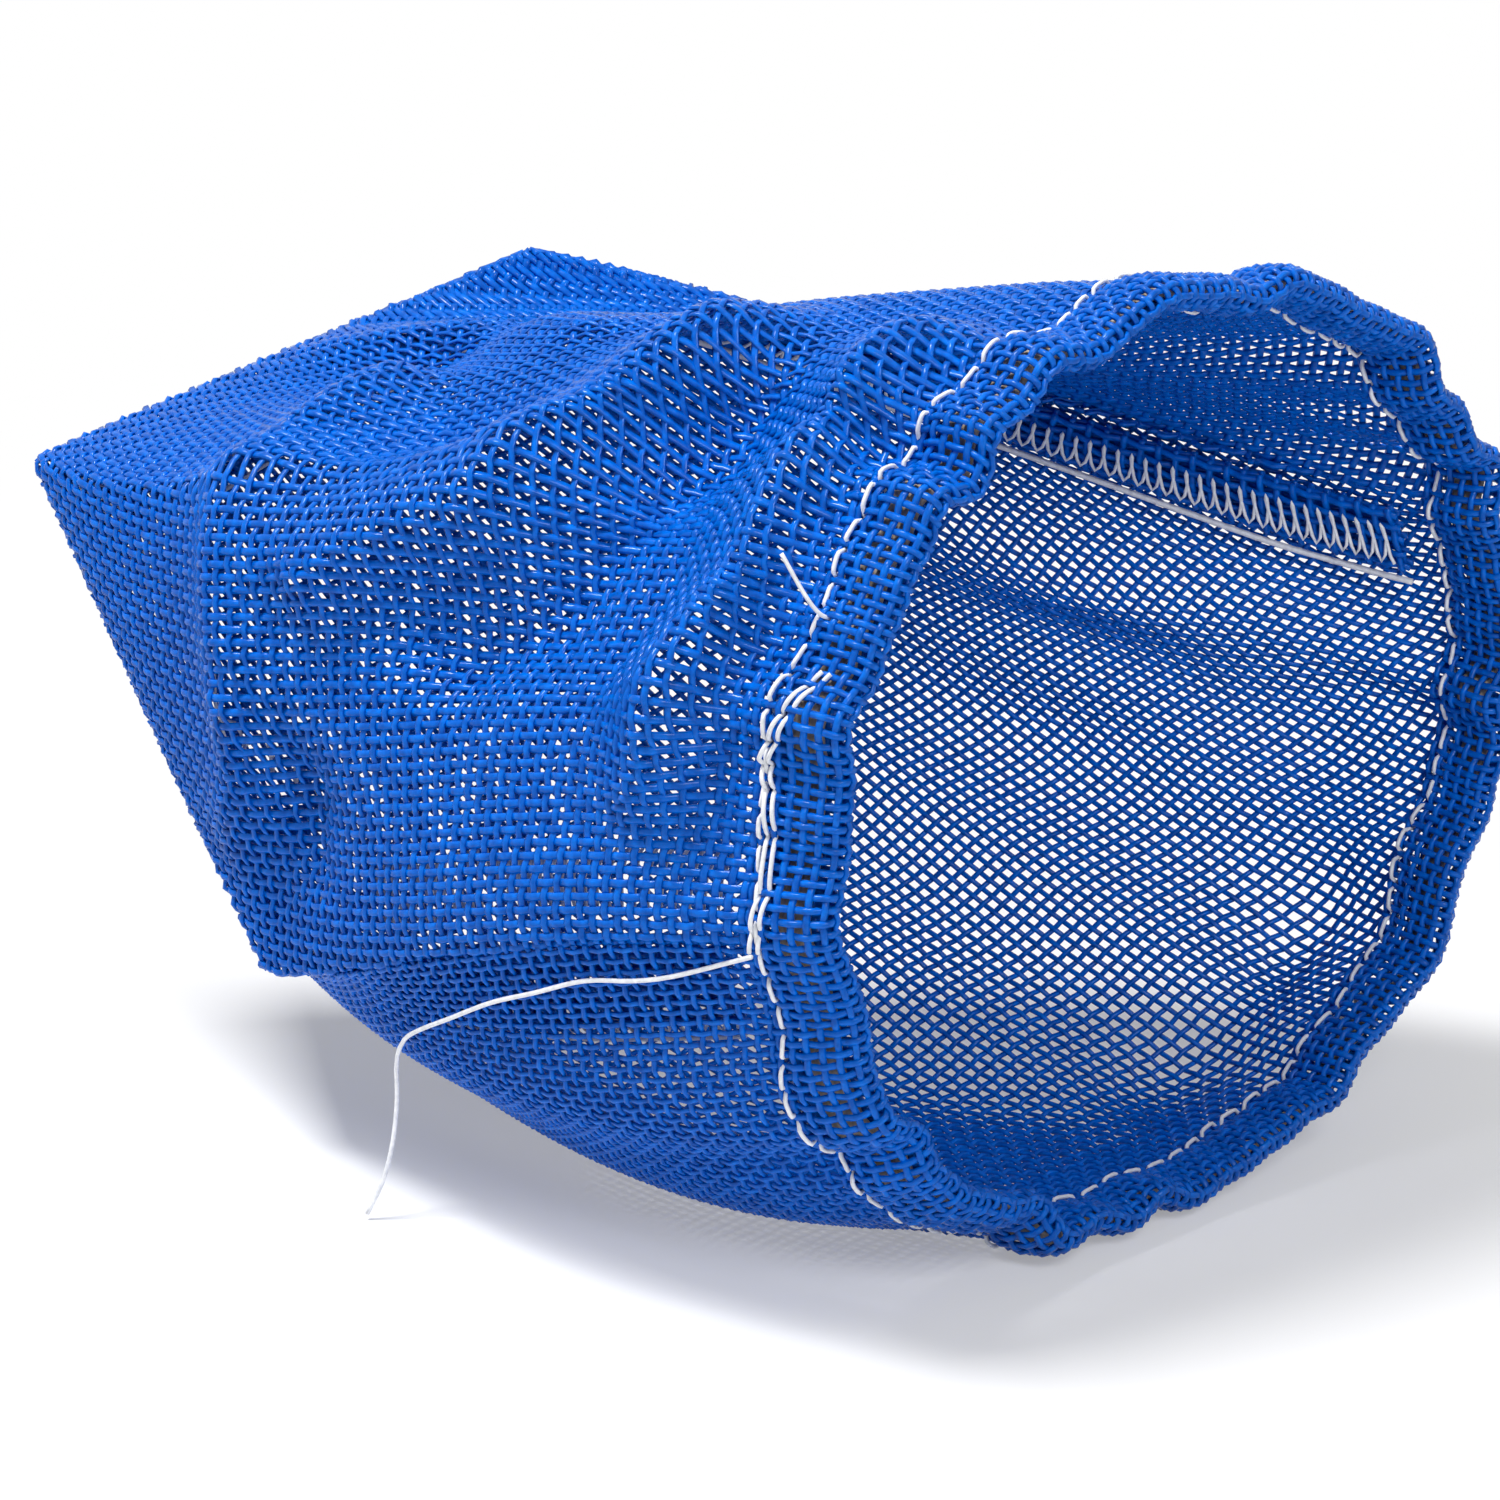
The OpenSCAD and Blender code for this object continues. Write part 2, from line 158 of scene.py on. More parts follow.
def on_floor(p, t):
    rest = lerp(HEM_REST, CLOTH_REST, np.clip(t / HEM_T - 1, 0, 1))
    z = rest + TURN * np.logaddexp(0, (p[..., 2] - rest) / TURN)
    return np.concatenate([p[..., :2], z[..., None]], -1)


def free_loft(w, t, side):
    a = place_angle(w, side)
    k = t[..., None]
    p = rim_point(a) * (1 - k) ** 3 + 3 * rim_handle(a) * k * (1 - k) ** 2
    return p + 3 * seam_handle(w, side) * k * k * (1 - k) + seam_point(w) * k**3


def loft(w, t, side):
    return on_floor(free_loft(w, t, side), t)


def out_normal(w, t, side):
    e = 0.004
    across = loft(np.minimum(w + e, 1), t, side) - loft(np.maximum(w - e, 0), t, side)
    along = loft(w, np.minimum(t + e, 1), side) - loft(w, t - e, side)
    return unit(np.cross(across, along)) * side


def fold_height(w, t, side):
    p = np.stack([w * RUN_W, t * RUN_T], -1)
    total = np.zeros_like(w)
    for spread, height, line in FOLDS[side]:
        pts = np.array(line) * (RUN_W, RUN_T)
        d = np.full_like(w, 1e9)
        for a, b in zip(pts[:-1], pts[1:]):
            k = np.clip(((p - a) @ (b - a)) / ((b - a) @ (b - a)), 0, 1)[..., None]
            d = np.minimum(d, np.linalg.norm(p - a - (b - a) * k, axis=-1))
        total += height * np.exp(-(np.sqrt(d * d + FOLD_ROUND**2) - FOLD_ROUND) / spread)
    fade = np.minimum(1, 6 * w) * np.minimum(1, 6 * (1 - w))
    fade = fade * np.clip(16 * (t - HEM_T), 0, 1) * np.clip(6 * (1 - t), 0, 1)
    return fade * total


def cloth(w, t, side, out=0.6):
    """(points, outward normals) of the cloth's middle, out from the loft."""
    n = out_normal(w, t, side)
    lift = fold_height(w, t, side) + pucker(place_angle(w, side), t)
    p = on_floor(free_loft(w, t, side) + n * lift[..., None], t)
    return p + n * np.asarray(out)[..., None], n


# ---------------------------------------------------------------- meshes
def make_mesh(name, verts, quads, caps, uv, material, smooth=True):
    """A mesh object from arrays: quads Nx4, caps as n-gons, uv per loop."""
    mesh = bpy.data.meshes.new(name)
    n_cap = caps.shape[1] if len(caps) else 0
    loops = np.concatenate([quads.ravel(), caps.ravel()]).astype(np.int32)
    totals = np.concatenate([np.full(len(quads), 4), np.full(len(caps), n_cap)]).astype(np.int32)
    mesh.vertices.add(len(verts))
    mesh.vertices.foreach_set("co", (verts * MM).astype(np.float32).ravel())
    mesh.loops.add(len(loops))
    mesh.loops.foreach_set("vertex_index", loops)
    mesh.polygons.add(len(totals))
    starts = np.concatenate([[0], np.cumsum(totals)[:-1]]).astype(np.int32)
    mesh.polygons.foreach_set("loop_start", starts)
    mesh.polygons.foreach_set("loop_total", totals)
    mesh.polygons.foreach_set("use_smooth", np.full(len(totals), smooth))
    layer = mesh.uv_layers.new(name="OFBake")
    layer.data.foreach_set("uv", uv.astype(np.float32).ravel())
    mesh.materials.append(material)
    mesh.update(calc_edges=True)
    mesh.validate()
    obj = bpy.data.objects.new(name, mesh)
    bpy.context.scene.collection.objects.link(obj)
    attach(obj, "root")
    return obj


def tubes(name, runs, radius, material, sides=5, flat=1.0, closed=False):
    """One mesh of round tubes. A run is (points, normals): its rings' middles and up."""
    verts, quads, caps, quad_uv, cap_uv = [], [], [], [], []
    phi = 2 * np.pi * (np.arange(sides) + 0.5) / sides
    ring = np.stack([np.cos(phi), np.sin(phi) * flat], -1)
    base = 0
    for row, (p, n) in enumerate(runs):
        count = len(p)
        if closed:
            tangent = unit(np.roll(p, -1, 0) - np.roll(p, 1, 0))
        else:
            tangent = unit(np.gradient(p, axis=0))
        across = unit(np.cross(tangent, n))
        up = np.cross(across, tangent)
        r = radius if np.isscalar(radius) else radius[row][:, None, None]
        spokes = across[:, None] * ring[None, :, :1] + up[:, None] * ring[None, :, 1:]
        v = p[:, None] + r * spokes
        verts.append(v.reshape(-1, 3))
        i = np.arange(count if closed else count - 1)[:, None]
        j = np.arange(sides)[None]
        a, b = base + i * sides + j, base + i * sides + (j + 1) % sides
        c = base + ((i + 1) % count) * sides + j
        d = base + ((i + 1) % count) * sides + (j + 1) % sides
        quads.append(np.stack([a, b, d, c], -1).reshape(-1, 4))
        u0, u1 = (i + 0.02) / count, (i + 0.98) / count
        v0, v1 = (row + (j + 0.1) / sides) / len(runs), (row + (j + 0.9) / sides) / len(runs)
        uv = np.stack([
            np.stack(np.broadcast_arrays(u0, v0), -1), np.stack(np.broadcast_arrays(u0, v1), -1),
            np.stack(np.broadcast_arrays(u1, v1), -1), np.stack(np.broadcast_arrays(u1, v0), -1),
        ], 2)
        quad_uv.append(uv.reshape(-1, 2))
        if not closed:
            first = base + np.arange(sides)[::-1]
            last = base + (count - 1) * sides + np.arange(sides)
            caps += [first, last]
            cap_uv.append(np.tile([[0.5 / count, (row + 0.5) / len(runs)]], (2 * sides, 1)))
        base += count * sides
    caps = np.array(caps).reshape(-1, sides)
    uv = np.concatenate(quad_uv + cap_uv)
    return make_mesh(name, np.concatenate(verts), np.concatenate(quads), caps, uv, material)


# The weave: its pitches round and along the pouch, then each cloth's half yarn width, the
# share of that which its thickness is, and how far a yarn rises over its neighbours
PITCH_U, PITCH_V = 1.22, 1.6
YARN_R = {NEAR: 0.47, FAR: 0.33, "hem": 0.4}
YARN_FLAT = {NEAR: 0.45, FAR: 0.75, "hem": 0.75}
CRIMP = 0.22


def yarn_runs(p, n, g, wrap=False):
    """Runs of both yarn families over a half-step grid. g is negative inside the cloth."""
    runs, loops = [], []
    ni, nj = g.shape

    def cut(pts, nrm, gg):
        inside = gg < 0
        edges = np.flatnonzero(np.diff(np.concatenate([[0], inside.astype(int), [0]])))
        for a, b in zip(edges[::2], edges[1::2]):
            if b - a < 3:
                continue
            q, m = pts[a:b], nrm[a:b]
            if a > 0:
                k = gg[a] / (gg[a] - gg[a - 1])
                q = np.concatenate([[lerp(pts[a], pts[a - 1], k)], q])
                m = np.concatenate([[m[0]], m])
            if b < len(gg):
                k = gg[b - 1] / (gg[b - 1] - gg[b])
                q = np.concatenate([q, [lerp(pts[b - 1], pts[b], k)]])
                m = np.concatenate([m, [m[-1]]])
            runs.append((q, m))

    i_all, j_all = np.arange(ni), np.arange(nj)
    for k, i in enumerate(range(1, ni, 2)):
        h = CRIMP * np.cos(np.pi * ((j_all - 1) / 2 - k))
        cut(p[i] + n[i] * h[:, None], n[i], g[i])
    for m, j in enumerate(range(1, nj, 2)):
        h = -CRIMP * np.cos(np.pi * ((i_all - 1) / 2 - m))
        pts = p[:, j] + n[:, j] * h[:, None]
        if wrap:
            loops.append((pts, n[:, j]))
        else:
            cut(pts, n[:, j], g[:, j])
    return runs, loops


# ---------------------------------------------------------------- materials
def node_material(name):
    m = bpy.data.materials.new(name)
    m.use_nodes = True
    nodes, links = m.node_tree.nodes, m.node_tree.links
    return m, nodes, links, nodes["Principled BSDF"]


def noise(nodes, links, scale, detail=3.0):
    coord = nodes.new("ShaderNodeTexCoord")
    tex = nodes.new("ShaderNodeTexNoise")
    tex.inputs["Scale"].default_value = scale
    tex.inputs["Detail"].default_value = detail
    links.new(coord.outputs["Object"], tex.inputs["Vector"])
    return tex


def ramp(nodes, links, source, stops):
    r = nodes.new("ShaderNodeValToRGB")
    e = r.color_ramp.elements
    e[0].position, e[0].color = stops[0][0], (*stops[0][1], 1)
    e[1].position, e[1].color = stops[-1][0], (*stops[-1][1], 1)
    for pos, col in stops[1:-1]:
        x = e.new(pos)
        x.color = (*col, 1)
    links.new(source, r.inputs["Fac"])
    return r


def coated_yarn(name, dark, mid, light):
    """Coated yarn: mottled in three tones, glossy, with a finely uneven skin."""
    m, nodes, links, bsdf = node_material(name)
    tex = noise(nodes, links, 900.0)
    colour = ramp(nodes, links, tex.outputs["Fac"], [(0.3, dark), (0.5, mid), (0.72, light)])
    links.new(colour.outputs["Color"], bsdf.inputs["Base Color"])
    bump = nodes.new("ShaderNodeBump")
    bump.inputs["Strength"].default_value = 0.15
    bump.inputs["Distance"].default_value = 0.0001
    fine = noise(nodes, links, 4000.0)
    links.new(fine.outputs["Fac"], bump.inputs["Height"])
    links.new(bump.outputs["Normal"], bsdf.inputs["Normal"])
    bsdf.inputs["Roughness"].default_value = 0.18
    bsdf.inputs["Specular IOR Level"].default_value = 0.16
    return m


def thread_material():
    m, nodes, links, bsdf = node_material("sewing_thread")
    tex = noise(nodes, links, 1500.0)
    colour = ramp(nodes, links, tex.outputs["Fac"],
                  [(0.3, (0.72, 0.74, 0.78)), (0.7, (0.93, 0.94, 0.96))])
    links.new(colour.outputs["Color"], bsdf.inputs["Base Color"])
    bsdf.inputs["Roughness"].default_value = 0.55
    bsdf.inputs["Sheen Weight"].default_value = 0.3
    return m


def elastic_material():
    m, nodes, links, bsdf = node_material("ribbed_elastic")
    tex = noise(nodes, links, 1200.0)
    colour = ramp(nodes, links, tex.outputs["Fac"],
                  [(0.3, (0.34, 0.27, 0.19)), (0.7, (0.56, 0.48, 0.38))])
    links.new(colour.outputs["Color"], bsdf.inputs["Base Color"])
    bsdf.inputs["Roughness"].default_value = 0.8
    return m


BLUE = coated_yarn("coated_yarn", (0.0, 0.08, 0.43), (0.0, 0.115, 0.57), (0.0, 0.165, 0.74))
THREAD = thread_material()
ELASTIC = elastic_material()

# ---------------------------------------------------------------- the camera
AZIMUTH, ELEVATION, DISTANCE = math.radians(43), math.radians(20), 480.0
FOCAL_PX, FRAME_PX, MOUTH_PX = 4574.0, 1500.0, (1196.0, 757.0)
back = np.array([math.sin(AZIMUTH) * math.cos(ELEVATION),
                 -math.cos(AZIMUTH) * math.cos(ELEVATION), math.sin(ELEVATION)])
right = np.array([math.cos(AZIMUTH), math.sin(AZIMUTH), 0.0])
above = np.cross(back, right)
VIEW_CENTRE = np.array([MOUTH[0], MOUTH[1], 52.2])
eye = VIEW_CENTRE + back * DISTANCE
aim = -back + right * (750 - MOUTH_PX[0]) / FOCAL_PX - above * (750 - MOUTH_PX[1]) / FOCAL_PX
camera_data = bpy.data.cameras.new("camera")
camera_data.sensor_width = 36.0
camera_data.lens = FOCAL_PX / FRAME_PX * 36.0
camera_data.clip_start, camera_data.clip_end = 0.01, 20.0
camera = bpy.data.objects.new("camera", camera_data)
bpy.context.scene.collection.objects.link(camera)
bpy.context.scene.camera = camera
aim = unit(aim)
cam_right = unit(np.cross(aim, np.array([0, 0, 1.0])))
cam_up = np.cross(cam_right, aim)
rows = np.stack([cam_right, cam_up, -aim], 1)
matrix = np.eye(4)
matrix[:3, :3] = rows
matrix[:3, 3] = eye * MM
camera.matrix_world = Matrix(matrix.tolist())

# ---------------------------------------------------------------- the loose threads
# The hem's stitches run STITCH_BACK from the rim. Both routes start or end at the hem
STITCH_BACK, TAIL_OUT = 7.8, 2.33
TAIL_RADIUS, STUB_RADIUS = 0.25, 0.22
TAIL_ROUTE = [
    (-9.6, -55.9, 43), (-16.1, -58.1, 40), (-20.6, -59.5, 38.5), (-26.6, -60.9, 37),
    (-33.1, -62.3, 34), (-39.6, -62.9, 31), (-46.6, -62.9, 27), (-52.6, -62.5, 23.6),
    (-56.1, -61.9, 21.2), (-57.6, -61.8, 18.8), (-58, -61.7, 17), (-58, -61.7, 13.6),
    (-57.9, -62.5, 8.8), (-58.3, -63.7, 4.3), (-59.3, -65.2, 0.5),
]


def hem_point(a, back_mm, out):
    """A point of the hem: back from the rim, out from the middle of its thickness."""
    a = np.asarray(a, float)
    a, b, o = np.broadcast_arrays(a, np.asarray(back_mm, float), np.asarray(out, float))
    down = (a - NEAR_SEAM) / (FAR_SEAM + 360 - NEAR_SEAM)
    near_w = (NEAR_SEAM + 360 - a) / (NEAR_SEAM - FAR_SEAM)
    t = HEM_T * b / HEM_DEPTH
    mid = np.full_like(t, HEM_T / 2)
    res, nrm = [], []
    for w, side in ((down, FAR), (near_w, NEAR)):
        w = np.clip(w, 0, 1)
        n = out_normal(w, mid, side)
        lift = pucker(place_angle(w, side), t)[..., None]
        res.append(on_floor(free_loft(w, t, side) + n * lift, t) + n * o[..., None])
        nrm.append(n)
    pick = (down <= 1)[..., None]
    return np.where(pick, res[0], res[1]), np.where(pick, nrm[0], nrm[1])


def smooth_route(p, step):
    p = np.array(p, float)
    out = []
    for i in range(len(p) - 1):
        a, b = p[max(0, i - 1)], p[i]
        c, d = p[i + 1], p[min(len(p) - 1, i + 2)]
        parts = max(1, round(np.linalg.norm(c - b) / step))
        for j in range(parts):
            k = j / parts
            out.append(0.5 * (2 * b + (c - a) * k + (2 * a - 5 * b + 4 * c - d) * k * k
                              + (3 * b - a - 3 * c + d) * k**3))
    return np.array(out + [p[-1]])


def from_mouth(route):
    """Route points that are written from the mouth's middle, but up from the floor."""
    return [np.add(q, (MOUTH[0], MOUTH[1], 0)) for q in route]


tail_start, _ = hem_point(np.array([NEAR_SEAM]), STITCH_BACK, TAIL_OUT)
tail_path = smooth_route([tail_start[0]] + from_mouth(TAIL_ROUTE), 1.5)
tail_up = np.tile([[0.3, 0.9, -0.2]], (len(tail_path), 1))
tail = tubes("thread_tail_cord", [(tail_path, tail_up)], TAIL_RADIUS, THREAD, sides=8)
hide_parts("thread_tail")

# The stub lies on the hem's inner face, and its end pokes out through the cloth
STUB_ROUTE = [(-11.5, -40.5, 82.3), (-8.6, -41.4, 80.3), (-5.3, -42.3, 77.9)]
stub_out, _ = hem_point(np.array([512.0]), 6.5, 1.9)
stub_end = stub_out[0] - 4.0 * right + 5.8 * above + 1.5 * back
stub_path = smooth_route(from_mouth(STUB_ROUTE) + [stub_out[0], stub_end], 0.7)
stub_up = np.tile([[0, 0.3, 1.0]], (len(stub_path), 1))
stub = tubes("thread_stub_end", [(stub_path, stub_up)], STUB_RADIUS, THREAD,
             sides=6)
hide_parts("thread_stub")

# ---------------------------------------------------------------- the two panels
# The cut of each panel, in yarns: its columns at the hem, where the near corner, the tip and
# the far corner fall across it, and how much the rows slant past one place across the hem
COLS = {NEAR: 126, FAR: 146}
CORNER_COLS = {NEAR: (-4, 30, 94), FAR: (0, 36, 112)}
SLANT = {NEAR: (-45, 0.28), FAR: (75, 0.58)}
# Then how far the cloth turns in past a seam, and how far it runs up under the hem
TURNED_IN, HEM_TUCK = 1.2, 0.9


def cut_columns(w, k, side):
    """Columns passed at w, k of the way to the closing seam."""
    corners = np.interp(w, (0, TIP_W, 1), CORNER_COLS[side]) + (w - np.clip(w, 0, 1)) * COLS[side]
    return COLS[side] * w + (corners - COLS[side] * w) * k**2


def slant_rows(w, side):
    rise, start = SLANT[side]
    return rise * 0.06 * np.logaddexp(0, (np.clip(w, 0, 1) - start) / 0.06)


def depth_table(side, cells=120):
    """Distance back from the hem's seam, in mm, over a table of w and t."""
    w, t = np.meshgrid(np.linspace(0, 1, cells), np.linspace(HEM_T, 1, cells), indexing="ij")
    p = loft(w, t, side)
    steps = np.linalg.norm(np.diff(p, axis=1), axis=2)
    return np.concatenate([np.zeros((cells, 1)), np.cumsum(steps, axis=1)], axis=1)


def at_depth(depth, w, mm):
    """t and the distance past the closing seam, at a distance back from the hem."""
    cells = len(depth)
    x = np.clip(w, 0, 1) * (cells - 1)
    i = np.minimum(x.astype(int), cells - 2)
    row = lerp(depth[i], depth[i + 1], (x - i)[..., None])
    j = np.clip((row < mm[..., None]).sum(-1) - 1, 0, cells - 2)
    low = np.take_along_axis(row, j[..., None], -1)[..., 0]
    high = np.take_along_axis(row, j[..., None] + 1, -1)[..., 0]
    k = (j + (mm - low) / (high - low)) / (cells - 1)
    return lerp(HEM_T, 1, k), mm - row[..., -1]


def panel_grid(side):
    """The half-step grid of a panel's yarns: w, t, and how far past the seams and the hem."""
    depth = depth_table(side)
    rows_low = min(0.0, float(slant_rows(np.array(1.0), side)))
    rows_high = depth.max() / PITCH_V + max(0.0, float(slant_rows(np.array(1.0), side)))
    u = np.arange(2 * min(CORNER_COLS[side][0], 0), 2 * COLS[side] + 1) / 2
    v = np.arange(2 * int(rows_low) - 3, 2 * int(rows_high) + 4) / 2
    grid = [np.stack([g.ravel() for g in np.meshgrid(u[i:i + 24], v, indexing="ij")])
            for i in range(0, len(u), 24)]
    parts = []
    for uu, vv in grid:
        w = uu / COLS[side]
        for _ in range(7):
            t, past = at_depth(depth, w, (vv - slant_rows(w, side)) * PITCH_V)
            k = np.clip((t - HEM_T) / (1 - HEM_T), 0, 1)
            low, high = np.full_like(w, -0.4), np.full_like(w, 1.4)
            for _ in range(22):
                w = (low + high) / 2
                more = cut_columns(w, k, side) < uu
                low, high = np.where(more, w, low), np.where(more, high, w)
        t, past = at_depth(depth, w, (vv - slant_rows(w, side)) * PITCH_V)
        width = COLS[side] * PITCH_U
        beyond = np.maximum.reduce([-w * width, (w - 1) * width, past, 0 * w])
        before = (slant_rows(w, side) - vv) * PITCH_V
        parts.append(np.stack([w, t, beyond, before]))
    return np.concatenate(parts, axis=1).reshape(4, len(u), len(v))


def panel(side, name, node):
    """A panel's strands, cut at the hem, past the side seams and past the closing seam."""
    w, t, beyond, before = panel_grid(side)
    p, n = cloth(np.clip(w, 0, 1), np.clip(t, 0.5 * HEM_T, 1), side)
    p = p - n * np.minimum(beyond, 3)[..., None]
    runs, _ = yarn_runs(p, n, np.maximum(beyond - TURNED_IN, before - HEM_TUCK))
    obj = tubes(name, runs, YARN_R[side], BLUE, flat=YARN_FLAT[side])
    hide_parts(node)
    return obj


near_panel = panel(NEAR, "near_panel_weave", "near_panel")
far_panel = panel(FAR, "far_panel_weave", "far_panel")

# ---------------------------------------------------------------- the hem
HEM_PATH = [
    (9.0, 0.6), (7.8, 0.75), (6, 1.4), (3.2, 1.5), (1.4, 1.35), (0.2, 0.8), (-0.45, 0),
    (0.2, -0.8), (1.4, -1.35), (3.2, -1.5), (6, -1.4), (7.8, -0.75), (9.4, -0.6),
]


def hem_weave():
    """The hem's cloth, over the rim and back: yarns across it, and closed rings round it."""
    path = smooth_route(np.array([(a, b, 0) for a, b in HEM_PATH]), 0.1)
    run = np.concatenate([[0], np.cumsum(np.linalg.norm(np.diff(path, axis=0), axis=1))])
    s = np.arange(0, run[-1], PITCH_V / 2)
    back_s, out_s = np.interp(s, run, path[:, 0]), np.interp(s, run, path[:, 1])
    near = np.arange(2 * COLS[NEAR]) / (2 * COLS[NEAR])
    far = np.arange(2 * COLS[FAR]) / (2 * COLS[FAR])
    a = np.concatenate([place_angle(1 - near, NEAR) + 360, place_angle(far, FAR)])
    a = np.where(a > FAR_SEAM + 360, a - 360, a)
    a = np.where(a < NEAR_SEAM, a + 360, a)
    aa, bb = np.meshgrid(a, back_s, indexing="ij")
    p, _ = hem_point(aa, bb, np.broadcast_to(out_s, aa.shape))
    across = np.roll(p, -1, 0) - np.roll(p, 1, 0)
    along = np.gradient(p, axis=1)
    n = unit(np.cross(along, across))
    middle, _ = hem_point(a, 4.0, 0.0)
    flip = np.sign(((p - middle[:, None]) * n).sum(-1).mean(0))
    n = n * flip[None, :, None]
    g = np.full(aa.shape, -1.0)
    runs, loops = yarn_runs(p, n, g, wrap=True)
    return runs, loops


hem_runs, hem_loops = hem_weave()
hem_a = tubes("hem_casing_weave", hem_runs, YARN_R["hem"], BLUE, flat=YARN_FLAT["hem"])
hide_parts("hem_casing")
hem_b = tubes("hem_casing_rings", hem_loops, YARN_R["hem"], BLUE,
              flat=YARN_FLAT["hem"], closed=True)

# Radii of the sewing threads, and the hem's stitches with the stations along each
SEAM_THREAD_R, LOOP_THREAD_R, CHAIN_R, FAR_CHAIN_R = 0.24, 0.2, 0.28, 0.36
STITCHES, STATIONS = 98, 9


def ring_tube(name, node, sign):
    """The hem's thread all round, dipping into the cloth at the end of each stitch."""
    k = np.arange(STITCHES * STATIONS)
    a = NEAR_SEAM + 360 * k / (STITCHES * STATIONS)
    phase = (k % STATIONS) / STATIONS
    d = np.minimum(phase, 1 - phase)
    out = 1.5 - 1.6 * np.exp(-((d / 0.13) ** 2))
    back_mm = STITCH_BACK + 0.5 * np.sin(np.radians(a) * 9) + 0.25 * np.sin(np.radians(a) * 23)
    p, n = hem_point(a, back_mm, sign * out)
    obj = tubes(name, [(p, n)], SEAM_THREAD_R, THREAD, sides=6, closed=True)
    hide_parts(node)
    return obj


ring_tube("hem_needle_stitches", "hem_needle_thread", 1)
ring_tube("hem_bobbin_stitches", "hem_bobbin_thread", -1)

ELASTIC_BACK, ELASTIC_WIDTH, ELASTIC_RIBS = 2.2, 3.4, 5


def elastic():
    """The ribbed band inside the hem: ribs along it, and a fine wave across."""
    stations = 720
    a = NEAR_SEAM + 360 * np.arange(stations) / stations
    section, steps = [], ELASTIC_RIBS * 4
    for i in range(steps + 1):
        half = 0.42 + 0.16 * abs(math.sin(math.pi * i / 4))
        section.append((ELASTIC_BACK + ELASTIC_WIDTH * i / steps, half))
    section += [(b, -o) for b, o in section[::-1]]
    section = np.array(section)
    aa, bb = np.meshgrid(a, section[:, 0], indexing="ij")
    oo = np.broadcast_to(section[:, 1], aa.shape)
    wave = 1 + 0.12 * np.sin(np.arange(stations) * math.pi / 2)[:, None]
    p, _ = hem_point(aa, bb, oo * wave)
    m = len(section)
    i = np.arange(stations)[:, None]
    j = np.arange(m)[None]
    nxt = (i + 1) % stations
    quads = np.stack([i * m + j, i * m + (j + 1) % m, nxt * m + (j + 1) % m, nxt * m + j], -1)
    u0, v0 = np.broadcast_arrays(i / stations, j / m)
    u1, v1 = np.broadcast_arrays((i + 1) / stations, (j + 1) / m)
    uv = np.stack([np.stack([u0, v0], -1), np.stack([u0, v1], -1), np.stack([u1, v1], -1),
                   np.stack([u1, v0], -1)], 2).reshape(-1, 2)
    obj = make_mesh("elastic_ribbed", p.reshape(-1, 3), quads.reshape(-1, 4),
                    np.zeros((0, 4), int), uv, ELASTIC)
    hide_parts("elastic_band")
    return obj


elastic()

# ---------------------------------------------------------------- the margins
MARGIN_PLIES = (-0.6, -1.45)


def margin(name, node, w0, w1, t0, t1, nw, nt):
    """Two plies of cloth past a seam, laid against the far panel's inner face."""
    runs = []
    for out in MARGIN_PLIES:
        w = np.linspace(w0, w1, nw)
        t = np.linspace(t0, t1, nt)
        ww, tt = np.meshgrid(w, t, indexing="ij")
        p, n = cloth(ww, tt, FAR, np.full_like(ww, out))
        r, _ = yarn_runs(p, n, np.full(ww.shape, -1.0))
        runs += r
    obj = tubes(name, runs, YARN_R["hem"], BLUE, flat=YARN_FLAT["hem"])
    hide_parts(node)
    return obj


margin("near_margin_weave", "near_seam_margin", 0.006, 0.059, 0.11, 0.8, nw=11, nt=69)
margin("far_margin_weave", "far_seam_margin", 0.941, 0.994, 0.11, 0.86, nw=11, nt=85)
margin("end_margin_weave", "end_seam_margin", 0.113, 0.887, 0.923, 0.99, nw=117, nt=9)


def edge_thread(name, node, w, t, out=-1.05, radius=CHAIN_R):
    p, n = cloth(w, t, FAR, np.full_like(w, out))
    obj = tubes(name, [(p, n)], radius, THREAD, sides=6)
    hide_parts(node)
    return obj


def overlock_loops(name, side, route, inwards, out, bites):
    """A zigzag of thread over a margin's edge, along a route of (w, t) places."""
    k = np.linspace(0, bites, bites * 8 + 1)
    along = (k + 0.25 * np.sin(2 * np.pi * k)) / bites * (len(route) - 1)
    swing = 0.5 - 0.5 * np.cos(2 * np.pi * k)
    stops = np.arange(len(route))
    w = np.interp(along, stops, [q[0] for q in route]) + inwards[0] * swing
    t = np.interp(along, stops, [q[1] for q in route]) + inwards[1] * swing
    p, n = cloth(w, t, side, np.full_like(w, out) - 0.25 * np.cos(4 * np.pi * k))
    return tubes(name, [(p, n)], LOOP_THREAD_R, THREAD, sides=6)


END_ROUTE = [(0.4, 0.935), (0.6, 0.93), (0.8, 0.935), (0.887, 0.94)]
TIP_ROUTE = [(0.37, 0.93), (0.3, 0.88), (0.23, 0.82), (0.155, 0.72), (0.11, 0.66),
             (0.075, 0.68), (0.05, 0.75)]
for name, side, route, inwards, out, bites in (
    ("far_overlock_loops", FAR, [(0.953, 0.12), (0.953, 0.85)], (0.03, 0), -2.2, 52),
    ("near_overlock_loops", NEAR, [(0.06, 0.1), (0.06, 0.62)], (-0.04, 0), -0.6, 34),
    ("near_overlock_loops_far", FAR, [(0.0653, 0.12), (0.0653, 0.8)], (-0.034, 0), -2.1, 34),
    ("end_overlock_loops", NEAR, END_ROUTE, (0, 0.04), -0.6, 30),
    ("tip_overlock_loops", NEAR, TIP_ROUTE, (-0.02, 0.035), -0.6, 30),
):
    overlock_loops(name, side, route, inwards, out, bites)

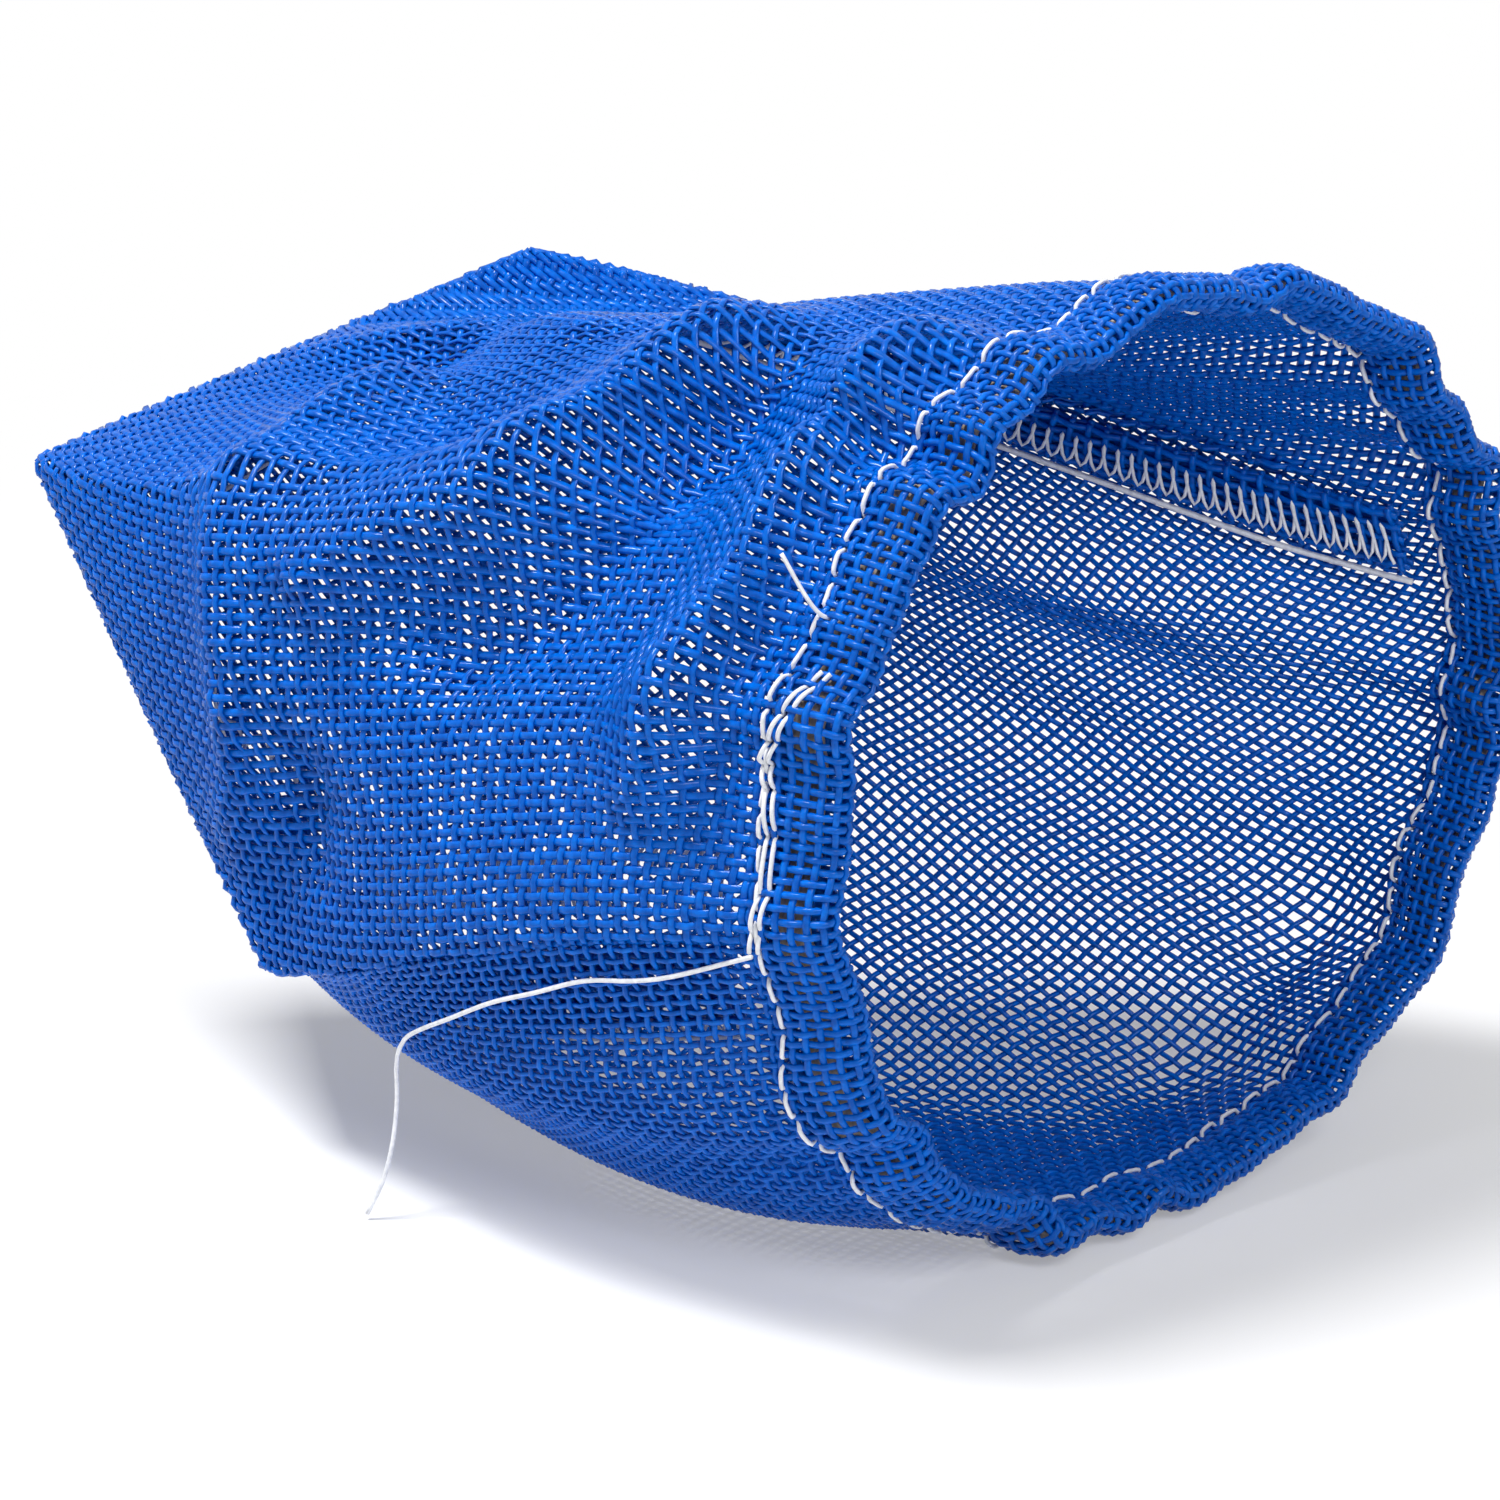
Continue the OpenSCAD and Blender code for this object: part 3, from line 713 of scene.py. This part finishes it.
line = np.linspace(0, 1, 90)
edge_thread("near_overlock_chain", "near_seam_overlock", 0 * line + 0.0653,
            lerp(0.11, 0.8, line))
edge_thread("far_overlock_chain", "far_seam_overlock", 0 * line + 0.9347,
            lerp(0.11, 0.86, line), -1.7, FAR_CHAIN_R)
edge_thread("end_overlock_chain", "end_seam_overlock", lerp(0.113, 0.887, line),
            0 * line + 0.916)

# ---------------------------------------------------------------- small sewn pieces
lap_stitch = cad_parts["elastic_lap_stitch"]
lap_stitch.data.materials.clear()
lap_stitch.data.materials.append(THREAD)

# Places round the mouth, and mm back from it, of the doubled stitches at the seam's ends
BACKTACK = [(518, 3.6), (523, 5.9), (527.5, 8.1), (531.5, 7.3), (542, 6.6), (547.9, 7.6)]
backtack_rows = []
for row in (-0.45, 0.5):
    k = np.linspace(0, 5, 91)
    a = np.interp(k, range(6), [q[0] for q in BACKTACK])
    b = np.interp(k, range(6), [q[1] for q in BACKTACK])
    beat = np.abs(np.sin(np.pi * (k * 1.6 + row)))
    backtack_rows.append(hem_point(a, b + row, 0.5 + 1.5 * beat**0.4))
backtack = tubes("hem_backtack_rows", backtack_rows, SEAM_THREAD_R, THREAD, sides=6)
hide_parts("hem_backtack")

# ---------------------------------------------------------------- the stage
bpy.ops.mesh.primitive_plane_add(size=6, location=(0, 0, -0.0002))
floor = bpy.context.object
floor.name = "floor"


def seen_white(nodes, links, shaded, share):
    """Lifts a pale surface towards white by a share or a socket, with a white glow that only
    camera, glossy and transmission rays see: painted white that lights nothing, also in
    reflections.
    """
    path = nodes.new("ShaderNodeLightPath")
    white = nodes.new("ShaderNodeEmission")
    white.inputs["Strength"].default_value = 1.0
    seen = path.outputs["Is Camera Ray"]
    for kind in ("Is Glossy Ray", "Is Transmission Ray"):
        either = nodes.new("ShaderNodeMath")
        either.operation = "MAXIMUM"
        links.new(seen, either.inputs[0])
        links.new(path.outputs[kind], either.inputs[1])
        seen = either.outputs[0]
    lift = nodes.new("ShaderNodeMath")
    lift.operation = "MULTIPLY"
    if isinstance(share, float):
        lift.inputs[1].default_value = share
    else:
        links.new(share, lift.inputs[1])
    links.new(seen, lift.inputs[0])
    mix = nodes.new("ShaderNodeMixShader")
    links.new(lift.outputs[0], mix.inputs["Fac"])
    links.new(shaded, mix.inputs[1])
    links.new(white.outputs["Emission"], mix.inputs[2])
    return mix.outputs["Shader"]


floor_m, fn, fl, fb = node_material("pale_floor")
fb.inputs["Base Color"].default_value = (0.92, 0.92, 0.92, 1)
fb.inputs["Roughness"].default_value = 0.9
# Painted light: the white glow seen on the floor is 0.3 of its mix within 0.05 m of the middle
# and all of it from 0.3 m out, so the floor's real shade shows near the pouch and is painted over
# with white further off.
away = fn.new("ShaderNodeVectorMath")
away.operation = "LENGTH"
fl.new(fn.new("ShaderNodeTexCoord").outputs["Object"], away.inputs[0])
fade = fn.new("ShaderNodeMapRange")
fade.inputs["From Min"].default_value, fade.inputs["From Max"].default_value = 0.05, 0.3
fade.inputs["To Min"].default_value, fade.inputs["To Max"].default_value = 0.3, 1.0
fl.new(away.outputs["Value"], fade.inputs["Value"])
fl.new(seen_white(fn, fl, fb.outputs["BSDF"], fade.outputs["Result"]),
       fn["Material Output"].inputs["Surface"])
floor.data.materials.append(floor_m)

world = bpy.data.worlds.new("studio")
bpy.context.scene.world = world
world.use_nodes = True
sky_nodes, sky_links = world.node_tree.nodes, world.node_tree.links
sky = sky_nodes["Background"]
sky.inputs["Color"].default_value = (1, 1, 1, 1)
sky.inputs["Strength"].default_value = 0.14
# The sky lights the pouch at strength 0.14, but the camera and the glossy yarn's reflections see
# it as white of strength 1: painted reflection.
sky_links.new(seen_white(sky_nodes, sky_links, sky.outputs["Background"], 1.0),
              sky_nodes["World Output"].inputs["Surface"])


def area_light(name, at, size, power):
    """A square light at a place in metres, turned to the pouch."""
    data = bpy.data.lights.new(name, "AREA")
    data.size, data.energy = size, power
    obj = bpy.data.objects.new(name, data)
    obj.location = at
    target = np.array([0, 0, 0.04])
    z = unit(np.array(at) - target)
    x = unit(np.cross([0, 0, 1.0], z))
    m = np.eye(4)
    m[:3, :3] = np.stack([x, np.cross(z, x), z], 1)
    m[:3, 3] = at
    obj.matrix_world = Matrix(m.tolist())
    bpy.context.scene.collection.objects.link(obj)


area_light("overhead", (-0.16, -0.3, 0.95), 0.2, 10)
area_light("key", (0.6, -0.2, 0.55), 0.25, 2.4)
bpy.context.scene.view_settings.view_transform = "Standard"
